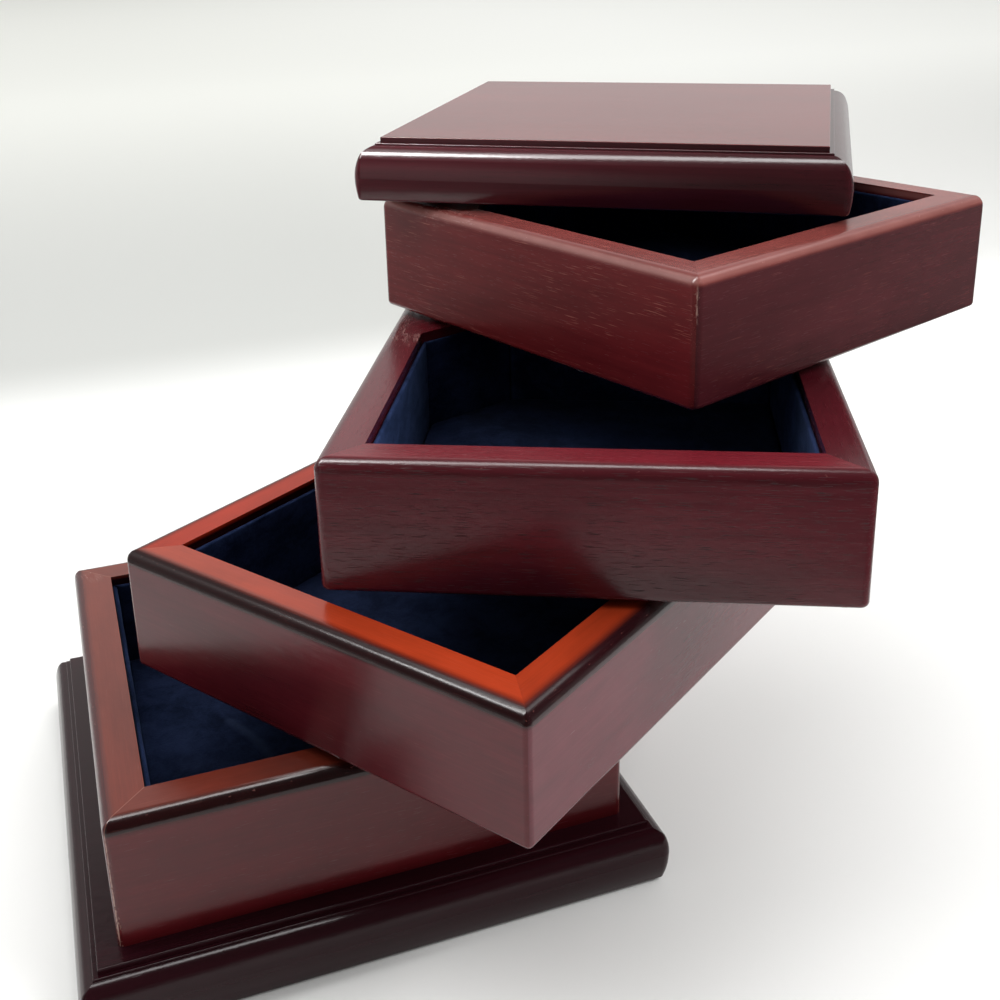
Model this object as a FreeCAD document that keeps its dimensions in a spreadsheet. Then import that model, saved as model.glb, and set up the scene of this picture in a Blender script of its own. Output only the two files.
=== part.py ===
import FreeCAD, Part
import math
import os
import Sketcher

# Tiered jewelry box: a moulded plinth carries a fixed lined tray, and three
# more lined trays and a moulded lid swing on one rod through the back right
# corner.  Millimetres, +Z up, origin at the middle of the underside, +X along
# the front edge to the right, +Y to the back.  The tiers stand fanned out.

V = FreeCAD.Vector
UP = V(0, 0, 1)

doc = FreeCAD.newDocument("tiered_jewelry_box")

# ---------------------------------------------------------------- dimensions
sheet = doc.addObject("Spreadsheet::Sheet", "dims")
SIZES = [
    ("tray_side", 152, "outer side of each square tray"),
    ("tray_height", 40.6, "height of each tray"),
    ("wall_thick", 12.5, "thickness of a side rail"),
    ("tier_gap", 2.4, "gap between one tier and the next"),
    ("pivot_inset", 12.8, "rod centre from the two outer faces"),
    ("rail_lip", 6, "rail thickness outside the floor rabbet and block"),
    ("panel_thick", 4, "floor panel"),
    ("block_leg", 28, "leg of the diagonal pivot block inside the walls"),
    ("top_round", 3.7, "roundover of the outer top edge"),
    ("bottom_round", 1.8, "roundover of the outer bottom edge"),
    ("corner_round_low", 2.0, "rounding of the upright mitred corners, trays 1 and 2"),
    ("corner_round_high", 2.6, "rounding of the upright mitred corners, trays 3 and 4"),
    ("lining_gap", 0.2, "wall to lining"),
    ("lining_thick", 1.6, "velvet covered lining strip"),
    ("lining_drop", 3, "wood showing above the lining"),
    ("pad_gap", 0.3, "lining to floor pad"),
    ("pad_thick", 3, "velvet covered floor pad"),
    ("felt_thick", 0.8, "felt under the plinth"),
    ("felt_half", 84.5, "half side of the felt"),
    ("plinth_half", 88, "half side of the plinth"),
    ("plinth_top", 20.4, "height of the plinth's top above the table"),
    ("plinth_ledge", 82, "half side of the raised top of the plinth"),
    ("plinth_step", 1.7, "step below the raised top"),
    ("plinth_quirk", 0.6, "second small step above the bullnose"),
    ("plinth_belly", 10.4, "height of the widest line of the bullnose above the table"),
    ("plinth_swell", 12, "radius of the bullnose above its widest line"),
    ("plinth_tuck", 24, "radius of the bullnose below its widest line"),
    ("plinth_foot", 0.8, "rounding of the plinth's bottom edge"),
    ("moulding_corner", 3, "rounding of the plinth's and lid's upright corners"),
    ("moulding_arris", 0.35, "eased edges of the steps in the mouldings"),
    ("lid_half", 84.6, "half side of the lid"),
    ("lid_height", 21.4, "height of the lid"),
    ("lid_ledge", 76.4, "half side of the raised top of the lid"),
    ("lid_step", 2.0, "step below the raised top"),
    ("lid_quirk", 0.7, "second small step above the bullnose"),
    ("lid_belly", 8, "height of the widest line of the bullnose above the lid's underside"),
    ("lid_swell", 16, "radius of the bullnose above its widest line"),
    ("lid_tuck", 30, "radius of the bullnose below its widest line"),
    ("lid_foot", 1.0, "rounding of the lid's bottom edge"),
    ("rod_radius", 3, "pivot rod"),
    ("bore_radius", 3.08, "running bore for the rod"),
    ("rod_low", 2.0, "rod's lower end above the table"),
    ("rod_reach", 12, "rod's reach into the lid"),
    ("insert_radius", 4.75, "threaded insert in the lid"),
    ("insert_hole", 13, "depth of the insert's hole"),
    ("cup_radius", 8, "counterbore under the plinth"),
    ("cup_top", 9, "top of the counterbore above the table"),
    ("washer_radius", 7, "washer in the counterbore"),
    ("washer_thick", 1.2, "washer in the counterbore"),
    ("nut_flats", 10, "lock nut across flats"),
    ("nut_height", 5, "lock nut"),
    ("nut_low", 2.6, "lock nut's lower face above the table"),
    ("spacer_radius", 8, "spacer washer between tiers"),
    ("spacer_play", 0.15, "end play above a spacer washer"),
    ("bumper_radius", 4.75, "clear dome bumper"),
    ("bumper_height", 2.1, "clear dome bumper"),
    ("bumper_inset", 6.5, "bumper centre from a tray's outer face"),
    ("bumper_along", 25, "bumper centre past the middle of a side"),
    ("lid_bumper_at", 71.5, "bumper centre under the lid"),
    ("lid_bumper_along", 22, "bumper centre past the middle of the lid's side"),
    ("swing_two", 33.8, "tray 2 turned from closed"),
    ("swing_three", 64.0, "tray 3 turned from closed"),
    ("swing_four", 110.4, "tray 4 turned from closed"),
    ("swing_lid", 146.1, "lid turned from closed"),
]
for row, (alias, number, note) in enumerate(SIZES, start=1):
    sheet.set("A%d" % row, alias)
    sheet.set("B%d" % row, str(number))
    sheet.set("C%d" % row, note)
    sheet.setAlias("B%d" % row, alias)
doc.recompute()


class Dim:
    """A size as both an expression on the sheet and its present value."""

    def __init__(self, text, value):
        self.text = text
        self.value = value

    def __add__(self, other):
        other = as_dim(other)
        return Dim("(%s + %s)" % (self.text, other.text), self.value + other.value)

    def __sub__(self, other):
        other = as_dim(other)
        return Dim("(%s - %s)" % (self.text, other.text), self.value - other.value)

    def __mul__(self, other):
        other = as_dim(other)
        return Dim("(%s * %s)" % (self.text, other.text), self.value * other.value)

    def __truediv__(self, other):
        other = as_dim(other)
        return Dim("(%s / %s)" % (self.text, other.text), self.value / other.value)

    def __neg__(self):
        return Dim("(0 - %s)" % self.text, -self.value)


def as_dim(item):
    return item if isinstance(item, Dim) else Dim("%.8g" % item, float(item))


def dim(alias):
    return Dim("dims." + alias, float(sheet.get(alias)))


def root(size):
    return Dim("sqrt(%s)" % size.text, math.sqrt(size.value))


side = dim("tray_side")
half = side * 0.5
height = dim("tray_height")
wall = dim("wall_thick")
gap = dim("tier_gap")
lip = dim("rail_lip")
inset = dim("pivot_inset")
leg = dim("block_leg")
zero = as_dim(0)


# ------------------------------------------------------------------- helpers
def new_body(name):
    body = doc.addObject("PartDesign::Body", name)
    body.Label = name
    return body


def new_sketch(body, name, role="XY_Plane"):
    sketch = body.newObject("Sketcher::SketchObject", name)
    plane = [o for o in body.Origin.OriginFeatures if o.Role == role][0]
    sketch.AttachmentSupport = [(plane, "")]
    sketch.MapMode = "FlatFace"
    return sketch


def bind(sketch, index, name, size):
    sketch.renameConstraint(index, name)
    sketch.setExpression("Constraints." + name, size.text)


def lock(sketch, geo, pos, x, y, name):
    """Hold one sketch point at x, y measured from the sketch's origin."""
    if x.text == zero.text:
        sketch.addConstraint(Sketcher.Constraint("PointOnObject", geo, pos, -2))
    else:
        i = sketch.addConstraint(Sketcher.Constraint("DistanceX", -1, 1, geo, pos, x.value))
        bind(sketch, i, name + "x", x)
    if y.text == zero.text:
        sketch.addConstraint(Sketcher.Constraint("PointOnObject", geo, pos, -1))
    else:
        i = sketch.addConstraint(Sketcher.Constraint("DistanceY", -1, 1, geo, pos, y.value))
        bind(sketch, i, name + "y", y)


def outline(sketch, points, name, arcs=None):
    """One closed loop of straight edges, with arcs where arcs gives them.

    arcs maps an edge's number to the centre and the radius of its arc.
    """
    arcs = arcs or {}
    count = len(points)
    edges = []
    for n in range(count):
        x0, y0 = points[n]
        x1, y1 = points[(n + 1) % count]
        a = V(x0.value, y0.value, 0)
        b = V(x1.value, y1.value, 0)
        if n in arcs:
            cx, cy, r = arcs[n]
            c = V(cx.value, cy.value, 0)
            t0 = math.atan2(a.y - c.y, a.x - c.x)
            t1 = math.atan2(b.y - c.y, b.x - c.x)
            turn = (t1 - t0) % (2 * math.pi)
            circle = Part.Circle(c, UP, r.value)
            if turn < math.pi:
                g = sketch.addGeometry(Part.ArcOfCircle(circle, t0, t0 + turn), False)
                edges.append((g, 1, 2))
            else:
                g = sketch.addGeometry(Part.ArcOfCircle(circle, t1, t1 + 2 * math.pi - turn), False)
                edges.append((g, 2, 1))
        else:
            g = sketch.addGeometry(Part.LineSegment(a, b), False)
            edges.append((g, 1, 2))
    for n in range(count):
        g, start, end = edges[n]
        h, start_h, end_h = edges[(n + 1) % count]
        sketch.addConstraint(Sketcher.Constraint("Coincident", g, end, h, start_h))
    for n in range(count):
        g, start, end = edges[n]
        lock(sketch, g, start, points[n][0], points[n][1], "%s%d" % (name, n))
    for n in arcs:
        i = sketch.addConstraint(Sketcher.Constraint("Radius", edges[n][0], arcs[n][2].value))
        bind(sketch, i, "%s%dr" % (name, n), arcs[n][2])


def ring(sketch, x, y, r, name):
    g = sketch.addGeometry(Part.Circle(V(x.value, y.value, 0), UP, r.value), False)
    lock(sketch, g, 3, x, y, name)
    i = sketch.addConstraint(Sketcher.Constraint("Radius", g, r.value))
    bind(sketch, i, name + "r", r)


def pad(body, sketch, name, length):
    feature = body.newObject("PartDesign::Pad", name)
    feature.Profile = sketch
    feature.setExpression("Length", length.text)
    sketch.Visibility = False
    return feature


def pocket_up(body, sketch, name, length):
    feature = body.newObject("PartDesign::Pocket", name)
    feature.Profile = sketch
    feature.Reversed = True
    feature.setExpression("Length", length.text)
    sketch.Visibility = False
    return feature


def bored(name, base, tools):
    """A piece with its holes cut by one or more plain tools."""
    if len(tools) > 1:
        joined = doc.addObject("Part::MultiFuse", name + "_holes")
        joined.Shapes = tools
    else:
        joined = tools[0]
    cut = doc.addObject("Part::Cut", name)
    cut.Label = name
    cut.Base = base
    cut.Tool = joined
    return cut


def cylinder(name, radius, length, at=None):
    item = doc.addObject("Part::Cylinder", name)
    item.Label = name
    item.setExpression("Radius", radius.text)
    item.setExpression("Height", length.text)
    if at is not None:
        item.Placement = FreeCAD.Placement(V(at[0].value, at[1].value, at[2].value), FreeCAD.Rotation())
    return item


pivot_x = (half - inset).value
pivot_y = (half - inset).value


def pose(swing, z):
    """A tier built closed and at z = 0, turned on the rod and lifted to z."""
    return FreeCAD.Placement(V(0, 0, z), FreeCAD.Rotation(UP, swing), V(pivot_x, pivot_y, 0))


def moved(x, y, z, turn=0):
    return FreeCAD.Placement(V(x, y, z), FreeCAD.Rotation(UP, turn))


nodes = []


def place(item, tier, local=None):
    """Give a finished piece its placement and list it for export."""
    item.Placement = tier.multiply(local) if local else tier
    nodes.append(item)


def tier_z(number):
    return (dim("plinth_top") + (height + gap) * (number - 1)).value


# ------------------------------------------------------------------ the trays
def crossed(name, full, section, arcs, corner, corner_section, corner_arcs):
    """A square block with the same section on all four sides.

    The section is run both ways and the two runs are crossed, so that it
    meets in true mitres.  A quarter turn of the section's outside is then
    taken off each upright corner, which rounds it.
    """
    runs = []
    for role, tag in (("XZ_Plane", "across"), ("YZ_Plane", "along")):
        body = new_body("%s_run_%s" % (name, tag))
        sketch = new_sketch(body, "%s_section_%s" % (name, tag), role)
        outline(sketch, section, "s", arcs)
        body.Tip = pad(body, sketch, "%s_bar_%s" % (name, tag), full + 20)
        doc.recompute()
        box = body.Shape.BoundBox
        if role == "XZ_Plane":
            body.Placement = moved(0, full.value / 2 - (box.YMin + box.YMax) / 2, 0)
        else:
            body.Placement = moved(full.value / 2 - (box.XMin + box.XMax) / 2, 0, 0)
        runs.append(body)
    crossing = doc.addObject("Part::MultiCommon", name + "_crossing")
    crossing.Shapes = runs
    waste = []
    for n in range(4):
        body = new_body("%s_corner_%d" % (name, n + 1))
        sketch = new_sketch(body, "%s_corner_section_%d" % (name, n + 1), "XZ_Plane")
        outline(sketch, corner_section, "c", corner_arcs)
        turned = body.newObject("PartDesign::Revolution", "%s_corner_turn_%d" % (name, n + 1))
        turned.Profile = sketch
        turned.ReferenceAxis = (sketch, ["V_Axis"])
        turned.Angle = 90
        sketch.Visibility = False
        body.Tip = turned
        doc.recompute()
        if body.Shape.BoundBox.YMax < corner.value:
            turned.Reversed = True
            doc.recompute()
        at = (full - corner).value
        middle = V(full.value / 2, full.value / 2, 0)
        body.Placement = FreeCAD.Placement(V(0, 0, 0), FreeCAD.Rotation(UP, 90 * n), middle).multiply(moved(at, at, 0))
        waste.append(body)
    return bored(name, crossing, waste)


def tray_block(number, raised):
    """The outer shape of a tray as one block, from its front left corner."""
    r = dim("corner_round_low" if number < 3 else "corner_round_high")
    t = dim("top_round")
    b = dim("bottom_round")
    apex = height - t + root(t * t - (t - r) * (t - r))
    if raised:
        section = [(b, zero), (side - b, zero), (side, b), (side, height - t), (side - t, height),
                   (t, height), (zero, height - t), (zero, b)]
        arcs = {1: (side - b, b, b), 3: (side - t, height - t, t), 5: (t, height - t, t), 7: (b, b, b)}
        corner = [(r - b, zero), (r, b), (r, height - t), (zero, apex), (zero, height + 1),
                  (r * 2, height + 1), (r * 2, as_dim(-1)), (r - b, as_dim(-1))]
        corner_arcs = {0: (r - b, b, b), 2: (r - t, height - t, t)}
    else:
        section = [(zero, zero), (side, zero), (side, height - t), (side - t, height), (t, height), (zero, height - t)]
        arcs = {2: (side - t, height - t, t), 4: (t, height - t, t)}
        corner = [(r, as_dim(-1)), (r, height - t), (zero, apex), (zero, height + 1), (r * 2, height + 1), (r * 2, as_dim(-1))]
        corner_arcs = {1: (r - t, height - t, t)}
    return crossed("tray_%d_block" % number, side, section, arcs, r, corner, corner_arcs)


def rail(name, kind, block):
    """A mitred side rail, outer face on y = 0, inside towards +y.

    kind: plain, or start / end where the pivot block is housed in that end.
    block: the tray's outer shape, which gives the rail its rounded edges.
    """
    body = new_body(name + "_bar")
    reach = wall + leg
    if kind == "start":
        points = [(zero, zero), (side, zero), (side - wall, wall), (reach, wall), (reach, lip), (lip, lip)]
        rabbet = [(reach, lip), (side - lip, lip), (side - wall, wall), (reach, wall)]
    elif kind == "end":
        points = [(zero, zero), (side, zero), (side - lip, lip), (side - reach, lip), (side - reach, wall), (wall, wall)]
        rabbet = [(lip, lip), (side - reach, lip), (side - reach, wall), (wall, wall)]
    else:
        points = [(zero, zero), (side, zero), (side - wall, wall), (wall, wall)]
        rabbet = [(lip, lip), (side - lip, lip), (side - wall, wall), (wall, wall)]
    plan = new_sketch(body, name + "_plan")
    outline(plan, points, "p")
    pad(body, plan, name + "_length", height)
    groove = new_sketch(body, name + "_rabbet_plan")
    outline(groove, rabbet, "q")
    body.Tip = pocket_up(body, groove, name + "_rabbet", dim("panel_thick"))
    bar_cut = doc.addObject("Part::Common", name)
    bar_cut.Label = name
    bar_cut.Base = body
    bar_cut.Tool = block
    return bar_cut


def pentagon(t):
    """The inside of the walls and the block's diagonal, brought in by t."""
    a = wall + t
    b = side - wall - t
    c = side - wall - leg - t * (math.sqrt(2) - 1)
    return [(a, a), (b, a), (b, c), (c, b), (a, b)]


def tray(number, swing):
    tag = "tray_%d_" % number
    tier = pose(swing, tier_z(number))
    raised = number > 1
    h = half.value
    block = tray_block(number, raised)
    place(rail(tag + "front_rail", "plain", block), tier, moved(-h, -h, 0, 0))
    place(rail(tag + "right_rail", "end", block), tier, moved(h, -h, 0, 90))
    place(rail(tag + "back_rail", "start", block), tier, moved(h, h, 0, 180))
    place(rail(tag + "left_rail", "plain", block), tier, moved(-h, h, 0, -90))

    hole = side - inset
    on_panel = dim("panel_thick").value

    body = new_body(tag + "floor_panel")
    plan = new_sketch(body, tag + "panel_plan")
    outline(plan, [(lip, lip), (side - lip, lip), (side - lip, side - lip), (lip, side - lip)], "p")
    ring(plan, hole, hole, dim("bore_radius"), "b")
    body.Tip = pad(body, plan, tag + "panel_pad", dim("panel_thick"))
    place(body, tier, moved(-h, -h, 0))

    body = new_body(tag + "pivot_block")
    plan = new_sketch(body, tag + "block_plan")
    far = side - wall - leg
    outline(plan, [(side - lip, side - lip), (far, side - lip), (far, side - wall), (side - wall, far), (side - lip, far)], "p")
    ring(plan, hole, hole, dim("bore_radius"), "b")
    body.Tip = pad(body, plan, tag + "block_pad", height - dim("panel_thick"))
    place(body, tier, moved(-h, -h, on_panel))

    body = new_body(tag + "wall_lining")
    plan = new_sketch(body, tag + "lining_plan")
    outline(plan, pentagon(dim("lining_gap")), "o")
    outline(plan, pentagon(dim("lining_gap") + dim("lining_thick")), "i")
    body.Tip = pad(body, plan, tag + "lining_pad", height - dim("panel_thick") - dim("lining_drop"))
    place(body, tier, moved(-h, -h, on_panel))

    body = new_body(tag + "floor_pad")
    plan = new_sketch(body, tag + "pad_plan")
    outline(plan, pentagon(dim("lining_gap") + dim("lining_thick") + dim("pad_gap")), "p")
    body.Tip = pad(body, plan, tag + "pad_pad", dim("pad_thick"))
    place(body, tier, moved(-h, -h, on_panel))

    # flat washer on the rod, under the next tier
    body = new_body("spacer_washer_%d" % number)
    plan = new_sketch(body, "spacer_plan_%d" % number)
    ring(plan, zero, zero, dim("spacer_radius"), "o")
    ring(plan, zero, zero, dim("bore_radius"), "i")
    body.Tip = pad(body, plan, "spacer_pad_%d" % number, gap - dim("spacer_play"))
    place(body, tier, moved(pivot_x, pivot_y, height.value))

    if raised:
        edge = (half - dim("bumper_inset")).value
        along = dim("bumper_along").value
        place(bumpers(tag + "bumpers", [(-along, edge), (edge, -along), (-edge, -edge)]), tier)


def bumpers(name, centres):
    """Clear domes under a tier, flat side up at z = 0."""
    r = dim("bumper_radius")
    h = dim("bumper_height")
    ball = "((%s ^ 2 + %s ^ 2) / (2 * %s))" % (r.text, h.text, h.text)
    radius = (r.value ** 2 + h.value ** 2) / (2 * h.value)
    domes = []
    for n, (x, y) in enumerate(centres, start=1):
        dome = doc.addObject("Part::Sphere", "%s_dome_%d" % (name, n))
        dome.setExpression("Radius", ball)
        dome.Angle1 = -90
        dome.setExpression("Angle2", "asin((%s - %s) / %s)" % (h.text, ball, ball))
        dome.Placement = moved(x, y, radius - h.value)
        domes.append(dome)
    group = doc.addObject("Part::Compound", name)
    group.Label = name
    group.Links = domes
    return group


tray(1, 0)
tray(2, dim("swing_two").value)
tray(3, dim("swing_three").value)
tray(4, dim("swing_four").value)


# ------------------------------------------------------- plinth, felt and lid
def moulding(name, outer, low, top, ledge, step, quirk, belly, swell, tuck, foot):
    """A square board with the same moulding on all four sides.

    From the top down: a raised middle, a step, a narrow shelf with a small
    second step, and a bullnose of tangent arcs that is widest at the belly
    and draws in again towards the foot.
    """
    full = outer * 2
    e = dim("moulding_arris")
    r = dim("moulding_corner")
    shoulder = top - step - quirk
    shelf = shoulder + quirk
    s1, c1 = math.sin(math.radians(25)), math.cos(math.radians(25))
    s2, c2 = math.sin(math.radians(80)), math.cos(math.radians(80))
    # below the belly: the tuck arc and the eased foot, tangent to each other
    fall = (belly - low - foot) / (tuck - foot)
    flat = root(as_dim(1) - fall * fall)
    t0 = tuck - (tuck - foot) * flat
    t1 = tuck - tuck * flat
    z1 = belly - tuck * fall
    # above the belly: the swell arc and the tighter bead up to the shoulder
    t3 = swell * (1 - c1)
    z3 = belly + swell * s1
    bead = (shoulder - z3) * (1 / (s2 - s1))
    t4 = t3 + bead * (c1 - c2)
    tb = t3 + bead * c1
    zb = z3 - bead * s1
    edge = [
        (t0, low), (t1, z1), (zero, belly), (t3, z3), (t4, shoulder), (t4, shelf - e), (t4 + e, shelf),
        (outer - ledge, shelf), (outer - ledge, top - e), (outer - ledge + e, top),
    ]
    centres = {
        0: (t0, low + foot, foot), 1: (tuck, belly, tuck), 2: (swell, belly, swell), 3: (tb, zb, bead),
        5: (t4 + e, shelf - e, e), 8: (outer - ledge + e, top - e, e),
    }
    count = len(edge)
    section = [(full - t, z) for t, z in edge] + list(reversed(edge))
    arcs = {}
    for n, (t, z, radius) in centres.items():
        arcs[n] = (full - t, z, radius)
        arcs[2 * count - 2 - n] = (t, z, radius)
    apex = zb + root(bead * bead - (tb - r) * (tb - r))
    corner = [(r - t0, low), (r - t1, z1), (r, belly), (r - t3, z3), (zero, apex), (zero, top + 1),
              (r * 2, top + 1), (r * 2, low - 1), (r - t0, low - 1)]
    corner_arcs = {0: (r - t0, low + foot, foot), 1: (r - tuck, belly, tuck), 2: (r - swell, belly, swell), 3: (r - tb, zb, bead)}
    blank = crossed(name + "_blank", full, section, arcs, r, corner, corner_arcs)
    blank.Placement = moved(-outer.value, -outer.value, 0)
    return blank


pivot = (half - inset)
felt = dim("felt_thick")

blank = moulding("plinth", dim("plinth_half"), felt, dim("plinth_top"), dim("plinth_ledge"),
                 dim("plinth_step"), dim("plinth_quirk"), dim("plinth_belly"), dim("plinth_swell"),
                 dim("plinth_tuck"), dim("plinth_foot"))
plinth = bored("plinth", blank, [
    cylinder("plinth_bore", dim("bore_radius"), dim("plinth_top") + 5, (pivot, pivot, as_dim(-1))),
    cylinder("plinth_cup", dim("cup_radius"), dim("cup_top") + 1, (pivot, pivot, as_dim(-1))),
])
place(plinth, pose(0, 0))

sheet_felt = doc.addObject("Part::Box", "base_felt")
sheet_felt.Label = "base_felt"
sheet_felt.setExpression("Length", "2 * dims.felt_half")
sheet_felt.setExpression("Width", "2 * dims.felt_half")
sheet_felt.setExpression("Height", "dims.felt_thick")
place(sheet_felt, pose(0, 0), moved(-dim("felt_half").value, -dim("felt_half").value, 0))

lid_z = tier_z(5)
lid_pose = pose(dim("swing_lid").value, lid_z)
blank = moulding("lid", dim("lid_half"), zero, dim("lid_height"), dim("lid_ledge"),
                 dim("lid_step"), dim("lid_quirk"), dim("lid_belly"), dim("lid_swell"),
                 dim("lid_tuck"), dim("lid_foot"))
lid = bored("lid", blank, [
    cylinder("lid_insert_hole", dim("insert_radius"), dim("insert_hole") + 1, (pivot, pivot, as_dim(-1))),
])
place(lid, lid_pose)

at = dim("lid_bumper_at").value
along = dim("lid_bumper_along").value
place(bumpers("lid_bumpers", [(-along, at), (at, -along), (-at, -at)]), lid_pose)

# ------------------------------------------------------------------ the pivot
body = new_body("lid_insert")
plan = new_sketch(body, "lid_insert_plan")
ring(plan, zero, zero, dim("insert_radius"), "o")
ring(plan, zero, zero, dim("rod_radius"), "i")
body.Tip = pad(body, plan, "lid_insert_pad", dim("rod_reach"))
place(body, lid_pose, moved(pivot_x, pivot_y, 0))

stack = dim("plinth_top") + (height + gap) * 4
rod = cylinder("pivot_rod", dim("rod_radius"), stack + dim("rod_reach") - dim("rod_low"))
place(rod, pose(0, 0), moved(pivot_x, pivot_y, dim("rod_low").value))

body = new_body("rod_washer")
plan = new_sketch(body, "rod_washer_plan")
ring(plan, zero, zero, dim("washer_radius"), "o")
ring(plan, zero, zero, dim("bore_radius"), "i")
body.Tip = pad(body, plan, "rod_washer_pad", dim("washer_thick"))
place(body, pose(0, 0), moved(pivot_x, pivot_y, (dim("cup_top") - dim("washer_thick")).value))

hexagon = doc.addObject("Part::Prism", "rod_nut_hexagon")
hexagon.Polygon = 6
hexagon.setExpression("Circumradius", "dims.nut_flats / sqrt(3)")
hexagon.setExpression("Height", "dims.nut_height")
nut = bored("rod_nut", hexagon, [
    cylinder("rod_nut_thread", dim("rod_radius"), dim("nut_height") + 2, (zero, zero, as_dim(-1))),
])
place(nut, lid_pose, moved(pivot_x, pivot_y, dim("nut_low").value - lid_z))

# --------------------------------------------------------------------- export
doc.recompute()
faults = []
for item in doc.Objects:
    if "Invalid" in item.State or "Error" in item.State:
        faults.append("%s: %s" % (item.Name, item.State))
for item in nodes:
    shape = item.Shape
    if shape.isNull() or not shape.isValid() or not shape.Solids:
        faults.append("%s: bad shape" % item.Label)
if faults:
    raise RuntimeError("; ".join(faults))

os.makedirs("parts", exist_ok=True)
for item in nodes:
    item.Shape.exportStep("parts/%s.step" % item.Label)
    box = item.Shape.BoundBox
    print("%-22s solids %d  volume %10.1f  z %.2f..%.2f" % (item.Label, len(item.Shape.Solids), item.Shape.Volume, box.ZMin, box.ZMax))
print(len(nodes), "pieces")
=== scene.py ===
import math

import bpy
from mathutils import Matrix, Vector, noise


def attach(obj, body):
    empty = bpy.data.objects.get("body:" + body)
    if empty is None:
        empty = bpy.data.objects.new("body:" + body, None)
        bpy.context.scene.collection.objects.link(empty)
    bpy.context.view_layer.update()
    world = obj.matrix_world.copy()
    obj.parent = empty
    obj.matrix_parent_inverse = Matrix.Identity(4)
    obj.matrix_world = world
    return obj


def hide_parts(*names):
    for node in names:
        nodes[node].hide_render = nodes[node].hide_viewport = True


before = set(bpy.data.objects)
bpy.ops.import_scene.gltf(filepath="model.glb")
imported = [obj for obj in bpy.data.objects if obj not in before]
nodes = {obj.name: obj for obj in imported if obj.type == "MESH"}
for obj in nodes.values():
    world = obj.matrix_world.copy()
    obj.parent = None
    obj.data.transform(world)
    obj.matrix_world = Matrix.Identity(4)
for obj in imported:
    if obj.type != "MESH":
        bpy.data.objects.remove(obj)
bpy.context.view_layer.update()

# ---------------------------------------------------------------- sizes, mm
SIDE = 152.0          # outer side of a tray
HIGH = 40.6           # height of a tray
WALL = 12.5           # thickness of a rail
LEG = 28.0            # leg of the pivot block
PIVOT = 63.2          # pivot axis, in x and in y
SWING = {1: 0.0, 2: 33.8, 3: 64.0, 4: 110.4, 5: 146.1}
BODY = {1: "base", 2: "tray_2", 3: "tray_3", 4: "tray_4", 5: "lid"}
Z0 = {k: 20.4 + 43.0 * (k - 1) for k in (1, 2, 3, 4, 5)}
TURN = {"front": 0.0, "right": 90.0, "back": 180.0, "left": 270.0}


def to_world(k, x, y, z):
    """A tray's own millimetres, from its outer front left corner, to the row frame in metres."""
    a = math.radians(SWING[k])
    u, v = x - SIDE / 2 - PIVOT, y - SIDE / 2 - PIVOT
    return Vector((
        (PIVOT + u * math.cos(a) - v * math.sin(a)) / 1000,
        (PIVOT + u * math.sin(a) + v * math.cos(a)) / 1000,
        (Z0[k] + z) / 1000,
    ))


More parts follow.
